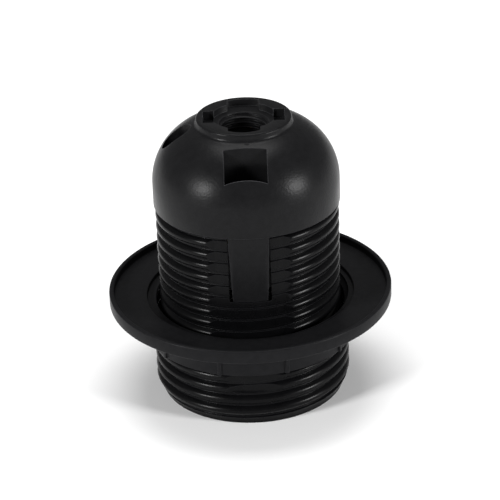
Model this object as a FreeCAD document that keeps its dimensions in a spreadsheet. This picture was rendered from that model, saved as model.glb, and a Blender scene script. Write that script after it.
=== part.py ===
"""Screw-cap lamp holder: a domed cap on a threaded skirt, with a loose shade ring.

The frame is +Z up, millimetres, with the origin at the centre of the mouth's lip, where the
holder stands. The front, with a tongue of the cap in its slot, faces -Y.
"""
import FreeCAD, Part
from enum import IntEnum
import math
import os
import Sketcher

DOC = FreeCAD.newDocument("LampHolder")

SIZES = {
    # screw shell, which the skirt is built around
    "shell_major_radius": 13.3,
    "shell_thread_depth": 1.05,
    "shell_metal": 0.4,
    "shell_pitch": 3.63,
    "shell_level": 8.0,
    "shell_flange_width": 3.95,
    "shell_flare": 0.9,
    # skirt
    "shell_clearance": 1.3,
    "ledge_width": 0.9,
    "ledge_level": 29.0,
    "skirt_wall": 1.6,
    "body_thread_depth": 0.9,
    "body_thread_start": 2.0,
    "ring_thread_step": 1.5,
    "ring_thread_depth": 0.95,
    "ring_thread_top": 11.3,
    "ring_seat_step": 0.4,
    "ring_seat_height": 1.2,
    "thread_pitch": 2.5,
    "thread_crest_width": 1.0,
    "thread_root_width": 0.4,
    "front_relief_width": 16.6,
    "front_relief_depth": 0.65,
    "ring_relief_width": 11.4,
    "ring_relief_depth": 0.75,
    "ring_relief_height": 4.9,
    "lip_step": 1.2,
    "lip_height": 0.4,
    "lead_in_height": 2.6,
    "mouth_wall": 1.8,
    "mouth_depth": 6.0,
    "mouth_taper_height": 3.0,
    "slot_width": 8.3,
    "slot_below_ledge": 2.0,
    # cap
    "wiring_height": 12.3,
    "dome_wall_height": 4.3,
    "dome_overhang": 0.25,
    "shoulder_radius": 12.45,
    "cap_wall": 2.0,
    "boss_rise": 1.05,
    "crown_width": 9.15,
    "boss_edge_round": 0.45,
    "boss_neck_round": 0.7,
    "entry_radius": 4.45,
    "entry_depth": 8.6,
    "entry_chamfer": 0.55,
    "entry_sleeve_wall": 2.6,
    "top_recess_width": 1.95,
    "top_recess_depth": 1.4,
    "top_notch_width": 6.4,
    "top_notch_margin": 1.3,
    "side_notch_width": 5.8,
    "side_notch_length": 2.2,
    "side_notch_margin": 1.4,
    "side_notch_depth": 2.0,
    "tongue_side_gap": 0.15,
    "tongue_taper": 0.55,
    "tongue_end_gap": 0.4,
    "tongue_inset": 0.2,
    "tongue_corner_round": 0.35,
    "window_width": 8.4,
    "window_length": 5.35,
    "window_margin": 2.25,
    "chute_wall": 1.2,
    "chute_rise": 1.4,
    "side_slot_width": 4.7,
    "side_slot_boss_gap": 0.9,
    "side_slot_margin": 2.35,
    # shade ring
    "ring_plate_reach": 7.2,
    "ring_height": 9.6,
    "ring_rim_width": 1.0,
    "ring_rim_height": 1.55,
    "ring_rim_round": 0.3,
    "ring_plate_thickness": 1.15,
    "ring_collar_wall": 1.4,
    "ring_thread_gap": 0.2,
    "ring_hole_step": 0.9,
    "ring_hole_step_depth": 0.8,
    "ring_rib_width": 0.8,
    "ring_rib_depth": 0.35,
    "ring_rib_number": 10,
    # contact carrier and terminals
    "carrier_thickness": 4.0,
    "carrier_gap": 0.1,
    "carrier_lug_side_gap": 0.35,
    "carrier_lug_end_gap": 0.3,
    "barrier_width": 1.8,
    "barrier_length": 17.0,
    "barrier_height": 6.0,
    "leaf_pocket_length": 13.2,
    "leaf_pocket_side_gap": 0.7,
    "leaf_pocket_end_gap": 0.8,
    "leaf_pocket_depth": 1.0,
    "terminal_inset": 6.3,
    "terminal_length": 5.0,
    "terminal_width": 7.0,
    "terminal_height": 8.5,
    "terminal_foot": 1.0,
    "foot_edge": 2.0,
    "wire_hole_radius": 1.4,
    "wire_hole_inset": 2.0,
    "clamp_radius": 1.5,
    "clamp_level": 5.8,
    "clamp_gap": 0.05,
    "clamp_head_overhang": 0.8,
    "clamp_head_height": 1.3,
    "clamp_head_gap": 0.4,
    "driver_slot_width": 0.7,
    "driver_slot_depth": 0.7,
    "rivet_radius": 1.0,
    "rivet_head_overhang": 0.9,
    "rivet_head_height": 0.6,
    "rivet_gap": 0.05,
    "shell_rivet_inset_x": 4.05,
    "shell_rivet_inset_y": 6.15,
    # centre contact
    "leaf_rivet_inset": 3.3,
    "leaf_metal": 0.4,
    "leaf_gap": 0.1,
    "leaf_width": 5.0,
    "leaf_root": 2.4,
    "leaf_flat": 4.6,
    "leaf_drop": 3.8,
    "leaf_reach": 3.8,
    "leaf_tip_rise": 1.1,
    "leaf_tip_reach": 2.2,
    "leaf_hole_gap": 0.3,
}


class Size:
    """A number together with the sheet expression that gives it."""

    def __init__(self, value, text):
        self.value = float(value)
        self.text = text

    @staticmethod
    def of(other):
        return other if isinstance(other, Size) else Size(other, repr(float(other)))

    def _join(self, other, sign, value):
        return Size(value, "(%s %s %s)" % (self.text, sign, Size.of(other).text))

    def __add__(self, other):
        return self._join(other, "+", self.value + Size.of(other).value)

    def __sub__(self, other):
        return self._join(other, "-", self.value - Size.of(other).value)

    def __mul__(self, other):
        return self._join(other, "*", self.value * Size.of(other).value)

    def __truediv__(self, other):
        return self._join(other, "/", self.value / Size.of(other).value)

    def __neg__(self):
        return Size(-self.value, "(0 - %s)" % self.text)

    def root(self):
        return Size(math.sqrt(self.value), "sqrt(%s)" % self.text)


class Sizes:
    """The spreadsheet of driving sizes, read as attributes."""

    def __init__(self, table):
        self.sheet = DOC.addObject("Spreadsheet::Sheet", "Sizes")
        for row, (alias, number) in enumerate(table.items(), start=1):
            self.sheet.set("A%d" % row, alias)
            self.sheet.set("B%d" % row, str(number))
            self.sheet.setAlias("B%d" % row, alias)
        DOC.recompute()

    def __getattr__(self, alias):
        return Size(self.sheet.get(alias), "Sizes.%s" % alias)


class Vertex(IntEnum):
    """How a sketch names the points of one piece of its geometry."""

    START = 1
    END = 2
    CENTRE = 3


S = Sizes(SIZES)
ROUND_TURN = 360.0
ORIGIN = -1
EPSILON = 1e-7
FIND_WITHIN = 0.01
THREAD_OVERRUN = 0.2
SHELL_CREST_SHARE = 0.2

# radii, from the lamp's thread outwards
SHELL_MINOR = S.shell_major_radius - S.shell_thread_depth
SHELL_HOLE = SHELL_MINOR - S.shell_flange_width
SKIRT_BORE = S.shell_major_radius + S.shell_metal + S.shell_clearance
CARRIER_BORE = SKIRT_BORE + S.ledge_width
BODY_ROOT = CARRIER_BORE + S.skirt_wall
BODY_THREAD = BODY_ROOT + S.body_thread_depth
RING_THREAD = BODY_THREAD + S.ring_thread_step
RING_SEAT = RING_THREAD - S.ring_seat_step
LIP = RING_THREAD - S.lip_step
MOUTH = LIP - S.mouth_wall
DOME = BODY_THREAD + S.dome_overhang
DOME_INSIDE = DOME - S.cap_wall
BOSS = DOME - S.crown_width
TONGUE = BODY_THREAD - S.tongue_inset
TOP_RECESS = S.entry_radius + S.top_recess_width
TOP_NOTCH = BOSS - S.top_notch_margin
SIDE_NOTCH = BOSS - S.side_notch_margin
WINDOW = DOME - S.window_margin
SIDE_SLOT = DOME - S.side_slot_margin
RING_ROOT = RING_THREAD + S.ring_thread_gap
COLLAR = RING_ROOT + S.ring_collar_wall
RING = COLLAR + S.ring_plate_reach
CARRIER_LUG = DOME_INSIDE - S.carrier_lug_end_gap
TERMINAL = CARRIER_BORE - S.terminal_inset
CLAMP_HEAD = S.clamp_radius + S.clamp_head_overhang
RIVET_HEAD = S.rivet_radius + S.rivet_head_overhang
LEAF_RIVET = SHELL_HOLE - S.leaf_rivet_inset
SHELL_RIVET_X = SHELL_MINOR - S.shell_rivet_inset_x
SHELL_RIVET_Y = SHELL_MINOR - S.shell_rivet_inset_y

# levels, from the lip upwards
SEAT_LEVEL = S.ring_thread_top + S.ring_seat_height
RELIEF_FLOOR = SEAT_LEVEL - S.ring_relief_height
SLOT_FLOOR = S.ledge_level - S.slot_below_ledge
TONGUE_END = SLOT_FLOOR + S.tongue_end_gap
CAP_SEAT = S.ledge_level + S.wiring_height
SHOULDER_LEVEL = CAP_SEAT + S.dome_wall_height
CHUTE_LEVEL = SHOULDER_LEVEL + S.chute_rise
HOLDER_TOP = SHOULDER_LEVEL + S.shoulder_radius + S.boss_rise

# widths
TONGUE_TOP_WIDTH = S.slot_width - S.tongue_side_gap * 2
TONGUE_END_WIDTH = TONGUE_TOP_WIDTH - S.tongue_taper * 2
LUG_WIDTH = S.slot_width - S.carrier_lug_side_gap * 2
POCKET_WIDTH = S.leaf_width + S.leaf_pocket_side_gap * 2
POCKET_START = LEAF_RIVET + S.leaf_root + S.leaf_pocket_end_gap


# ---------------------------------------------------------------- drawing helpers
def body(name):
    """A new body whose label is the name of its node."""
    made = DOC.addObject("PartDesign::Body", name)
    made.Label = name
    return made


def bind(thing, attribute, size):
    """Sets a property of a feature from the sheet."""
    thing.setExpression(attribute, Size.of(size).text)


def sketch(owner, name, role, height=None):
    """An empty sketch on one of the body's origin planes, at a height along its normal."""
    made = owner.newObject("Sketcher::SketchObject", name)
    plane = next(f for f in owner.Origin.OriginFeatures if f.Role == role)
    made.AttachmentSupport = [(plane, "")]
    made.MapMode = "FlatFace"
    if height is not None:
        bind(made, "AttachmentOffset.Base.z", height)
    return made


def fix(made, kind, geometry, vertex, size):
    """Holds one coordinate of a sketch point at a size of the sheet."""
    size = Size.of(size)
    if abs(size.value) < EPSILON and size.text in ("0.0", "-0.0"):
        axis = -2 if kind == "DistanceX" else -1
        made.addConstraint(Sketcher.Constraint("PointOnObject", geometry, vertex, axis))
        return
    row = made.addConstraint(
        Sketcher.Constraint(kind, ORIGIN, 1, geometry, vertex, size.value)
    )
    made.setExpression("Constraints[%d]" % row, size.text)


def fix_radius(made, geometry, radius):
    row = made.addConstraint(Sketcher.Constraint("Radius", geometry, radius.value))
    made.setExpression("Constraints[%d]" % row, radius.text)


class Near:
    """A start value of a coordinate that an arc settles."""

    def __init__(self, size):
        self.value = Size.of(size).value


class Arc:
    """A round stretch of an outline, to the next corner, about a centre."""

    def __init__(self, x, y, left=True, radius=None):
        self.centre = (Size.of(x), Size.of(y))
        self.left = left
        self.radius = radius


def start_of(coordinate):
    return coordinate.value if isinstance(coordinate, Near) else Size.of(coordinate).value


def outline(made, *items):
    """Draws a closed outline of corners (x, y), with an Arc between two corners it joins."""
    corners = [item for item in items if not isinstance(item, Arc)]
    arcs = {}
    for place, item in enumerate(items):
        if isinstance(item, Arc):
            arcs[sum(not isinstance(i, Arc) for i in items[:place]) - 1] = item
    first = made.GeometryCount
    points = [FreeCAD.Vector(start_of(x), start_of(y), 0) for x, y in corners]
    ends = []
    for i, a in enumerate(points):
        b = points[(i + 1) % len(points)]
        if i not in arcs:
            made.addGeometry(Part.LineSegment(a, b), False)
            ends.append((Vertex.START, Vertex.END))
            continue
        middle = FreeCAD.Vector(*[c.value for c in arcs[i].centre], 0)
        from_a = math.atan2(a.y - middle.y, a.x - middle.x)
        from_b = math.atan2(b.y - middle.y, b.x - middle.x)
        low, high = (from_a, from_b) if arcs[i].left else (from_b, from_a)
        circle = Part.Circle(middle, FreeCAD.Vector(0, 0, 1), (a - middle).Length)
        made.addGeometry(Part.ArcOfCircle(circle, low, high), False)
        swap = (Vertex.START, Vertex.END) if arcs[i].left else (Vertex.END, Vertex.START)
        ends.append(swap)
    count = len(points)
    for i in range(count):
        after = (i + 1) % count
        made.addConstraint(Sketcher.Constraint(
            "Coincident", first + i, ends[i][1], first + after, ends[after][0]
        ))
    for i, arc in arcs.items():
        fix(made, "DistanceX", first + i, Vertex.CENTRE, arc.centre[0])
        fix(made, "DistanceY", first + i, Vertex.CENTRE, arc.centre[1])
        if arc.radius is not None:
            fix_radius(made, first + i, arc.radius)
    for i, (x, y) in enumerate(corners):
        if not isinstance(x, Near):
            fix(made, "DistanceX", first + i, ends[i][0], x)
        if not isinstance(y, Near):
            fix(made, "DistanceY", first + i, ends[i][0], y)
    return made


def box_outline(made, x0, x1, y0, y1):
    return outline(made, (x0, y0), (x1, y0), (x1, y1), (x0, y1))


def circle_outline(made, radius, x=0.0, y=0.0):
    """Draws a circle about a point of the sketch."""
    x, y, radius = Size.of(x), Size.of(y), Size.of(radius)
    middle = FreeCAD.Vector(x.value, y.value, 0)
    row = made.addGeometry(Part.Circle(middle, FreeCAD.Vector(0, 0, 1), radius.value), False)
    fix(made, "DistanceX", row, Vertex.CENTRE, x)
    fix(made, "DistanceY", row, Vertex.CENTRE, y)
    fix_radius(made, row, radius)
    return made


def turned(owner, name, drawn, kind="Revolution"):
    """Turns a drawn section about the holder's axis, adding it or, as a Groove, cutting it."""
    made = owner.newObject("PartDesign::%s" % kind, name)
    made.Profile = drawn
    made.ReferenceAxis = (drawn, ["V_Axis"])
    made.Angle = ROUND_TURN
    return made


def raised(owner, name, drawn, length, both=False):
    made = owner.newObject("PartDesign::Pad", name)
    made.Profile = drawn
    made.Midplane = both
    bind(made, "Length", length)
    return made


def cut(owner, name, drawn, depth, both=False, backwards=False):
    """Cuts a drawn outline along its plane's normal and checks that metal was removed."""
    DOC.recompute()
    before = owner.Shape.Volume
    made = owner.newObject("PartDesign::Pocket", name)
    made.Profile = drawn
    made.Midplane = both
    made.Reversed = backwards
    bind(made, "Length", depth)
    DOC.recompute()
    if owner.Shape.Volume > before - EPSILON:
        raise RuntimeError("%s cuts nothing" % name)
    return made


def around(owner, name, feature, number, axis_owner):
    """Repeats a feature evenly about the holder's axis."""
    made = owner.newObject("PartDesign::PolarPattern", name)
    made.Originals = [feature]
    made.Axis = (axis_owner, ["N_Axis"])
    made.Angle = ROUND_TURN
    made.Occurrences = int(number)
    owner.Tip = made
    return made


def cut_thread(owner, name, crest, root, first, last):
    """Cuts thread grooves from a crest radius to a root radius, with centres up to a level."""
    half_mouth = (S.thread_pitch - S.thread_crest_width) / 2
    half_root = S.thread_root_width / 2
    past = crest + (crest - root) * THREAD_OVERRUN
    half_past = half_mouth + (half_mouth - half_root) * THREAD_OVERRUN
    drawn = sketch(owner, name + "_section", "XZ_Plane")
    for row in range(rows_between(first, last, S.thread_pitch)):
        level = first + S.thread_pitch * row
        outline(
            drawn,
            (root, level - half_root),
            (past, level - half_past),
            (past, level + half_past),
            (root, level + half_root),
        )
    return turned(owner, name, drawn, "Groove")


def rows_between(first, last, pitch):
    """How many rows at a pitch fit from a first level up to a last one."""
    return int((last.value - first.value) / pitch.value + FIND_WITHIN) + 1


# ---------------------------------------------------------------- outer pieces
def build_skirt():
    """Moulded skirt: two outside threads, the ring's seat, a stepped bore and two slots."""
    made = body("skirt")
    ring_root = RING_THREAD - S.ring_thread_depth
    lead_in_top = S.lip_height + S.lead_in_height
    bore_start = S.mouth_depth + S.mouth_taper_height
    wall = outline(
        sketch(made, "skirt_wall", "XZ_Plane"),
        (MOUTH, 0),
        (LIP, 0),
        (LIP, S.lip_height),
        (RING_THREAD, lead_in_top),
        (RING_THREAD, S.ring_thread_top),
        (RING_SEAT, S.ring_thread_top),
        (RING_SEAT, SEAT_LEVEL),
        (BODY_THREAD, SEAT_LEVEL),
        (BODY_THREAD, CAP_SEAT),
        (CARRIER_BORE, CAP_SEAT),
        (CARRIER_BORE, S.ledge_level),
        (SKIRT_BORE, S.ledge_level),
        (SKIRT_BORE, bore_start),
        (MOUTH, S.mouth_depth),
    )
    turned(made, "skirt_turned", wall)
    half_pitch = S.thread_pitch / 2
    top_crest = S.ring_thread_top - S.thread_crest_width / 2
    rows = rows_between(lead_in_top, top_crest - half_pitch, S.thread_pitch)
    lowest = top_crest - half_pitch - S.thread_pitch * (rows - 1)
    cut_thread(
        made, "ring_thread", RING_THREAD, ring_root, lowest, top_crest - half_pitch
    )
    first = SEAT_LEVEL + S.body_thread_start + half_pitch
    cut_thread(
        made, "body_thread", BODY_THREAD, BODY_ROOT, first, CAP_SEAT
    )
    relieve_threads(made)
    cut_tongue_slots(made)
    return made


def relief(made, name, width, radius, crest, floor, height):
    """Cuts the thread back to a radius over a width of the front and of the back."""
    reach = crest + S.thread_pitch
    side = width / 2
    drawn = sketch(made, name + "_section", "XY_Plane", floor)
    for way in (-1, 1):
        edge = Near((radius * radius - side * side).root() * way)
        outline(
            drawn,
            (-side, edge),
            Arc(0, 0, way < 0, radius),
            (side, edge),
            (side, reach * way),
            (-side, reach * way),
        )
    return cut(made, name, drawn, height, backwards=True)


def relieve_threads(made):
    """Cuts both threads back at the front and back, where the mould halves part."""
    body_relief = BODY_THREAD - S.front_relief_depth
    relief(
        made, "body_thread_relief", S.front_relief_width, body_relief,
        RING_SEAT, SEAT_LEVEL, CAP_SEAT - SEAT_LEVEL,
    )
    ring_relief = RING_THREAD - S.ring_relief_depth
    relief(
        made, "ring_thread_relief", S.ring_relief_width, ring_relief,
        RING_THREAD, RELIEF_FLOOR, SEAT_LEVEL - RELIEF_FLOOR,
    )


def cut_tongue_slots(made):
    """Cuts the front and back slots that the cap's tongues drop into."""
    side = S.slot_width / 2
    drawn = box_outline(
        sketch(made, "slot_section", "XZ_Plane"), -side, side, SLOT_FLOOR, CAP_SEAT
    )
    cut(made, "tongue_slots", drawn, RING_THREAD * 2, both=True)


def edges_at(shape, radius, level):
    """Names the round edges of a shape that have a radius and lie at a level."""
    names = []
    for number, edge in enumerate(shape.Edges, start=1):
        round_edge = isinstance(edge.Curve, Part.Circle)
        if not round_edge or abs(edge.Curve.Radius - radius.value) > FIND_WITHIN:
            continue
        if abs(edge.Curve.Center.z - level.value) < FIND_WITHIN:
            names.append("Edge%d" % number)
    return names


def soften(owner, name, kind, size, *places):
    """Rounds or chamfers the round edges found at each (radius, level)."""
    DOC.recompute()
    base = owner.Tip
    names = [n for radius, level in places for n in edges_at(base.Shape, radius, level)]
    if not names:
        raise RuntimeError("%s finds no edge" % name)
    made = owner.newObject("PartDesign::%s" % kind, name)
    made.Base = (base, names)
    bind(made, "Radius" if kind == "Fillet" else "Size", size)
    return made


def build_cap():
    """Moulded cap: a dome with a boss for the threaded entry, and two springy tongues."""
    made = body("cap")
    made.AllowCompound = True
    add_chute_blocks(made)
    centre = DOME - S.shoulder_radius
    sleeve = S.entry_radius + S.entry_sleeve_wall
    sleeve_level = HOLDER_TOP - S.top_recess_depth - S.entry_depth
    section = outline(
        sketch(made, "cap_wall", "XZ_Plane"),
        (DOME_INSIDE, TONGUE_END),
        (TONGUE, TONGUE_END),
        (TONGUE, CAP_SEAT),
        (DOME, CAP_SEAT),
        (DOME, SHOULDER_LEVEL),
        Arc(centre, SHOULDER_LEVEL),
        (BOSS, Near(dome_level(BOSS, S.shoulder_radius))),
        (BOSS, HOLDER_TOP),
        (S.entry_radius, HOLDER_TOP),
        (S.entry_radius, sleeve_level),
        (sleeve, sleeve_level),
        (sleeve, Near(dome_level(sleeve, S.shoulder_radius - S.cap_wall))),
        Arc(centre, SHOULDER_LEVEL, left=False),
        (DOME_INSIDE, SHOULDER_LEVEL),
    )
    turned(made, "cap_turned", section)
    soften(made, "boss_edge", "Fillet", S.boss_edge_round, (BOSS, HOLDER_TOP))
    neck = dome_level(BOSS, S.shoulder_radius)
    soften(made, "boss_neck", "Fillet", S.boss_neck_round, (BOSS, neck))
    leave_tongues(made)
    cut_entry_recess(made)
    cut_windows(made)
    return made


def dome_level(radius, shoulder_radius):
    """The level at which a dome of this shoulder radius has a radius."""
    out = radius - (DOME - S.shoulder_radius)
    return SHOULDER_LEVEL + (shoulder_radius * shoulder_radius - out * out).root()


def add_chute_blocks(made):
    """Adds a block behind each window, up to the middle of the dome's wall."""
    side = S.window_width / 2 + S.chute_wall
    near = (WINDOW - S.window_length) - S.chute_wall
    drawn = sketch(made, "chute_block_section", "XY_Plane", CHUTE_LEVEL)
    for way in (-1, 1):
        box_outline(drawn, -side, side, near * way, WINDOW * way)
    raised(made, "chute_blocks", drawn, HOLDER_TOP - CHUTE_LEVEL)
    middle = S.shoulder_radius - S.cap_wall / 2
    centre = DOME - S.shoulder_radius
    reach = DOME + S.cap_wall
    within = near / 2
    beyond = outline(
        sketch(made, "chute_block_trim", "XZ_Plane"),
        (centre + middle, SHOULDER_LEVEL),
        Arc(centre, SHOULDER_LEVEL),
        (within, Near(dome_level(within, middle))),
        (within, HOLDER_TOP + S.cap_wall),
        (reach, HOLDER_TOP + S.cap_wall),
        (reach, SHOULDER_LEVEL),
    )
    turned(made, "chute_blocks_trimmed", beyond, "Groove")


def leave_tongues(made):
    """Cuts the sleeve under the rim down to a tapered tongue at the front and the back."""
    top = TONGUE_TOP_WIDTH / 2
    end = TONGUE_END_WIDTH / 2
    reach = DOME + S.cap_wall
    below = TONGUE_END - S.cap_wall
    drawn = sketch(made, "tongue_section", "XZ_Plane")
    for way in (-1, 1):
        outline(
            drawn,
            (top * way, CAP_SEAT),
            (end * way, TONGUE_END),
            (end * way, below),
            (reach * way, below),
            (reach * way, CAP_SEAT),
        )
    cut(made, "tongues", drawn, reach * 2, both=True)
    names = []
    for number, edge in enumerate(made.Shape.Edges, start=1):
        box = edge.BoundBox
        corner = abs(max(abs(box.XMin), abs(box.XMax)) - end.value) < FIND_WITHIN
        at_end = abs(box.ZMax - TONGUE_END.value) < FIND_WITHIN
        if corner and at_end and box.XLength < FIND_WITHIN:
            names.append("Edge%d" % number)
    base = made.Tip
    rounded = made.newObject("PartDesign::Fillet", "tongue_corners")
    rounded.Base = (base, names)
    bind(rounded, "Radius", S.tongue_corner_round)


def cut_entry_recess(made):
    """Cuts the cross-shaped recess around the entry, and the entry's chamfer."""
    drawn = circle_outline(
        sketch(made, "recess_section", "XY_Plane", HOLDER_TOP), TOP_RECESS
    )
    cut(made, "top_recess", drawn, S.top_recess_depth)
    floor = HOLDER_TOP - S.top_recess_depth
    soften(made, "entry_chamfered", "Chamfer", S.entry_chamfer, (S.entry_radius, floor))
    side = S.top_notch_width / 2
    drawn = sketch(made, "notch_section", "XY_Plane", HOLDER_TOP)
    edge = (TOP_NOTCH * TOP_NOTCH - side * side).root()
    outline(
        drawn,
        (-side, Near(-edge)),
        Arc(0, 0, True, TOP_NOTCH),
        (side, Near(-edge)),
        (side, Near(edge)),
        Arc(0, 0, True, TOP_NOTCH),
        (-side, Near(edge)),
    )
    cut(made, "top_notches", drawn, S.top_recess_depth)
    side = S.side_notch_width / 2
    drawn = sketch(made, "side_notch_section", "XY_Plane", HOLDER_TOP)
    for way in (-1, 1):
        box_outline(drawn, (SIDE_NOTCH - S.side_notch_length) * way, SIDE_NOTCH * way, -side, side)
    cut(made, "side_notches", drawn, S.side_notch_depth)


def cut_windows(made):
    """Cuts the front and back windows down their chutes, and the slot in the left flank."""
    side = S.window_width / 2
    drawn = sketch(made, "window_section", "XY_Plane", HOLDER_TOP)
    for way in (-1, 1):
        box_outline(drawn, -side, side, (WINDOW - S.window_length) * way, WINDOW * way)
    depth = HOLDER_TOP - CHUTE_LEVEL + S.chute_wall
    cut(made, "windows", drawn, depth)
    half = S.side_slot_width / 2
    inner = -(BOSS + S.side_slot_boss_gap + half)
    outer = -(SIDE_SLOT - half)
    drawn = outline(
        sketch(made, "side_slot_section", "XY_Plane", HOLDER_TOP),
        (inner, -half),
        Arc(inner, 0),
        (inner, Near(half)),
        (outer, half),
        Arc(outer, 0),
        (outer, Near(-half)),
    )
    cut(made, "side_slot", drawn, depth)


def build_shade_ring():
    """Moulded ring on the skirt's seat: a threaded, ribbed collar under a rimmed plate."""
    made = body("shade_ring")
    bore = RING_ROOT - S.ring_thread_depth
    top = SEAT_LEVEL + S.ring_height
    plate_top = top - S.ring_rim_height
    plate_under = plate_top - S.ring_plate_thickness
    step = RING_ROOT + S.ring_hole_step
    section = outline(
        sketch(made, "ring_wall", "XZ_Plane"),
        (bore, SEAT_LEVEL),
        (COLLAR, SEAT_LEVEL),
        (COLLAR, plate_under),
        (RING, plate_under),
        (RING, top),
        (RING - S.ring_rim_width, top),
        (RING - S.ring_rim_width, plate_top),
        (step, plate_top),
        (step, plate_top - S.ring_hole_step_depth),
        (bore, plate_top - S.ring_hole_step_depth),
    )
    turned(made, "ring_turned", section)
    soften(
        made, "rim_edges", "Fillet", S.ring_rim_round,
        (RING, top), (RING - S.ring_rim_width, top),
        (RING, plate_under),
    )
    first = SEAT_LEVEL + S.thread_pitch / 2
    cut_thread(made, "bore_thread", bore, RING_ROOT, first, plate_top - S.thread_pitch / 2)
    add_grip_ribs(made, plate_under)
    return made


def add_grip_ribs(made, plate_under):
    """Adds the upright ribs around the collar, under the plate."""
    side = S.ring_rib_width / 2
    drawn = box_outline(
        sketch(made, "rib_section", "XY_Plane", SEAT_LEVEL),
        COLLAR - S.ring_rib_depth, COLLAR + S.ring_rib_depth,
        -side, side,
    )
    rib = raised(made, "grip_rib", drawn, plate_under - SEAT_LEVEL)
    DOC.recompute()
    around(made, "grip_ribs", rib, S.ring_rib_number.value, drawn)


# ---------------------------------------------------------------- inner pieces
def build_contact_carrier():
    """Moulded disc on the skirt's ledge, keyed into the slots, with a barrier on top."""
    made = body("contact_carrier")
    plan = circle_outline(
        sketch(made, "disc_section", "XY_Plane", S.ledge_level),
        CARRIER_BORE - S.carrier_gap,
    )
    raised(made, "disc", plan, S.carrier_thickness)
    side = LUG_WIDTH / 2
    edge = (CARRIER_LUG * CARRIER_LUG - side * side).root()
    lugs = outline(
        sketch(made, "lug_section", "XY_Plane", S.ledge_level),
        (-side, Near(-edge)),
        Arc(0, 0, True, CARRIER_LUG),
        (side, Near(-edge)),
        (side, Near(edge)),
        Arc(0, 0, True, CARRIER_LUG),
        (-side, Near(edge)),
    )
    raised(made, "lugs", lugs, S.carrier_thickness)
    barrier = box_outline(
        sketch(made, "barrier_section", "XY_Plane", S.ledge_level),
        -S.barrier_width / 2, S.barrier_width / 2, -S.barrier_length / 2, S.barrier_length / 2,
    )
    raised(made, "barrier", barrier, S.carrier_thickness + S.barrier_height)
    pocket = box_outline(
        sketch(made, "leaf_pocket_section", "XY_Plane", S.ledge_level),
        -POCKET_START, S.leaf_pocket_length - POCKET_START,
        -POCKET_WIDTH / 2, POCKET_WIDTH / 2,
    )
    cut(made, "leaf_pocket", pocket, S.leaf_pocket_depth, backwards=True)
    holes = sketch(made, "rivet_hole_section", "XY_Plane", S.ledge_level)
    for x, y in rivet_places():
        circle_outline(holes, S.rivet_radius + S.rivet_gap, x, y)
    cut(made, "rivet_holes", holes, S.carrier_thickness, backwards=True)
    return made


def rivet_places():
    """Where the centre contact's rivet and the shell's two rivets stand."""
    return (
        (-LEAF_RIVET, Size.of(0)),
        (SHELL_RIVET_X, SHELL_RIVET_Y),
        (-SHELL_RIVET_X, -SHELL_RIVET_Y),
    )


def build_rivet(name, place, foot, head):
    """Solid rivet from the level under its lower head's plate up through what it holds."""
    made = body(name)
    x, y = place
    for part, radius, low, high in (
        ("lower_head", RIVET_HEAD, foot - S.rivet_head_height, foot),
        ("shank", S.rivet_radius, foot - S.rivet_head_height, head + S.rivet_head_height),
        ("upper_head", RIVET_HEAD, head, head + S.rivet_head_height),
    ):
        drawn = circle_outline(
            sketch(made, "%s_%s_section" % (name, part), "XY_Plane", low), radius, x, y
        )
        raised(made, "%s_%s" % (name, part), drawn, high - low)
    return made


def build_terminal(name, way, foot_x, foot_y, rivet):
    """Brass terminal: a riveted foot and a block with a wire hole and a clamp hole."""
    made = body(name)
    base = S.ledge_level + S.carrier_thickness
    inner = TERMINAL - S.terminal_length / 2
    outer = TERMINAL + S.terminal_length / 2
    side = S.terminal_width / 2
    foot = box_outline(
        sketch(made, name + "_foot_section", "XY_Plane", base),
        foot_x * way, outer * way, -side, foot_y,
    )
    raised(made, name + "_foot", foot, S.terminal_foot)
    block = box_outline(
        sketch(made, name + "_block_section", "XY_Plane", base),
        inner * way, outer * way, -side, side,
    )
    raised(made, name + "_block", block, S.terminal_height)
    wire = circle_outline(
        sketch(made, name + "_wire_section", "XY_Plane", base + S.terminal_height),
        S.wire_hole_radius, (inner + S.wire_hole_inset) * way,
    )
    cut(made, name + "_wire_hole", wire, S.terminal_height - S.terminal_foot)
    clamp = circle_outline(
        sketch(made, name + "_clamp_section", "YZ_Plane", (inner + S.wire_hole_inset) * way),
        S.clamp_radius + S.clamp_gap, 0.0, base + S.clamp_level,
    )
    cut(made, name + "_clamp_hole", clamp, S.terminal_length, backwards=way > 0)
    hole = circle_outline(
        sketch(made, name + "_rivet_section", "XY_Plane", base),
        S.rivet_radius + S.rivet_gap, rivet[0], rivet[1],
    )
    cut(made, name + "_rivet_hole", hole, S.terminal_foot, backwards=True)
    return made


def build_clamp_screw(name, way):
    """Slotted screw that closes a terminal's wire hole from its outer face."""
    made = body(name)
    level = S.ledge_level + S.carrier_thickness + S.clamp_level
    outer = TERMINAL + S.terminal_length / 2
    inner = TERMINAL - S.terminal_length / 2
    tip = inner + S.wire_hole_inset + S.wire_hole_radius
    under_head = outer + S.clamp_head_gap
    face = under_head + S.clamp_head_height
    for part, radius, near, far in (
        ("shank", S.clamp_radius, tip, face),
        ("head", CLAMP_HEAD, under_head, face),
    ):
        low = near if way > 0 else -far
        drawn = circle_outline(
            sketch(made, "%s_%s_section" % (name, part), "YZ_Plane", low), radius, 0.0, level
        )
        raised(made, "%s_%s" % (name, part), drawn, far - near)
    side = S.driver_slot_width / 2
    slot = box_outline(
        sketch(made, name + "_slot_section", "YZ_Plane", face * way),
        -CLAMP_HEAD, CLAMP_HEAD, level - side, level + side,
    )
    cut(made, name + "_slot", slot, S.driver_slot_depth, backwards=way < 0)
    return made


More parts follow.
